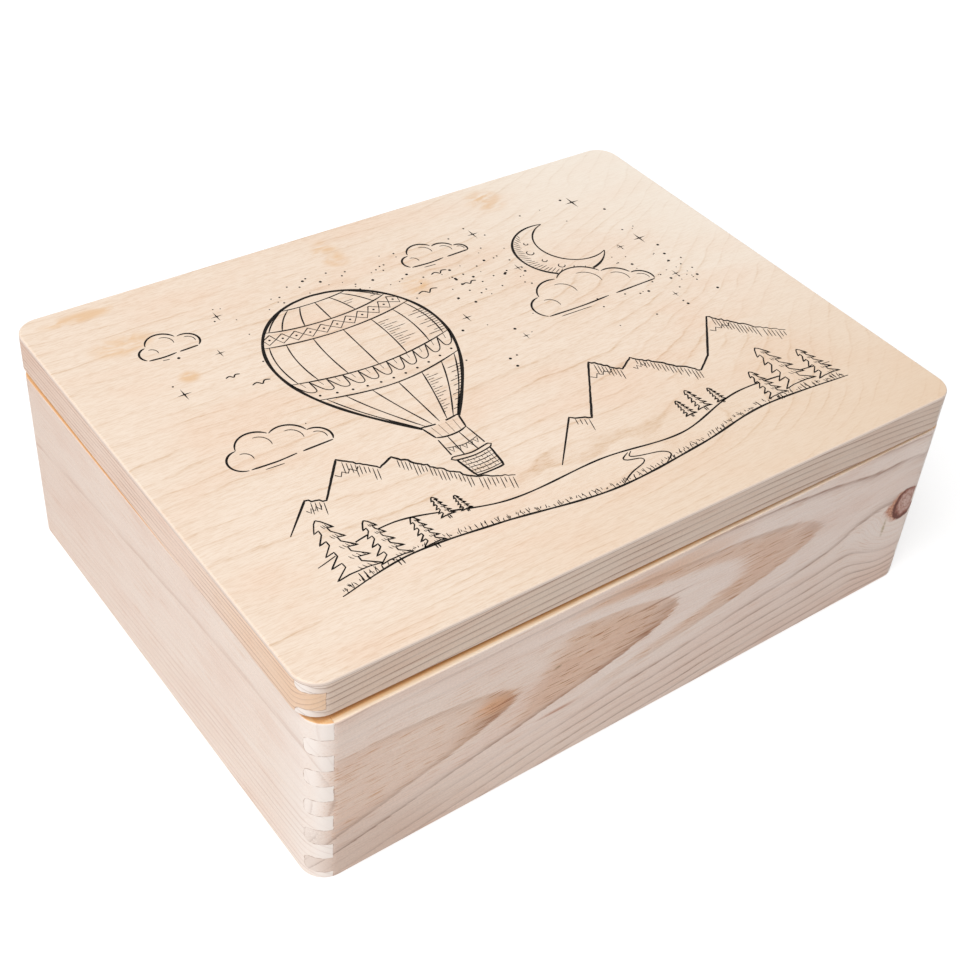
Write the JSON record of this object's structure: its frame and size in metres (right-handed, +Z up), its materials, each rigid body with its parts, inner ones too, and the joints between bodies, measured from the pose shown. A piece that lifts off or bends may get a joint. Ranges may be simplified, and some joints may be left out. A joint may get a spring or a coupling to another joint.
{
  "type": "keepsake box",
  "caption": "Shallow pine keepsake box with finger-jointed rounded corners and a plywood-topped lid on two butt hinges.",
  "frame": {"origin": "on the surface that the box stands on, under the middle of the closed box with its hinge knuckles", "axes": "+X along the front towards its right end, +Y from the front to the hinges at the back, +Z up"},
  "size_m": [0.4028, 0.3078, 0.1335],
  "materials": {
    "pine": "sanded, unfinished",
    "plywood": "sanded, unfinished",
    "brassed steel": "bright plated"
  },
  "bodies": {
    "box": {"box_front_board": "pine", "box_back_board": "pine", "box_left_board": "pine", "box_right_board": "pine", "box_bottom_panel": "plywood", "left_hinge_box_leaf": "brassed steel", "left_hinge_pin": "brassed steel", "left_hinge_box_screws": "brassed steel", "right_hinge_box_leaf": "brassed steel", "right_hinge_pin": "brassed steel", "right_hinge_box_screws": "brassed steel"},
    "lid": {"lid_front_rail": "pine", "lid_back_rail": "pine", "lid_left_rail": "pine", "lid_right_rail": "pine", "lid_top_panel": "plywood", "left_hinge_lid_leaf": "brassed steel", "left_hinge_lid_screws": "brassed steel", "right_hinge_lid_leaf": "brassed steel", "right_hinge_lid_screws": "brassed steel"}
  },
  "joints": [
    {"name": "lid_hinge", "type": "hinge", "parent": "box", "child": "lid", "pos_m": [0, 0.152, 0.1105], "axis": [-1, 0, 0], "range_deg": [0, 180]}
  ]
}
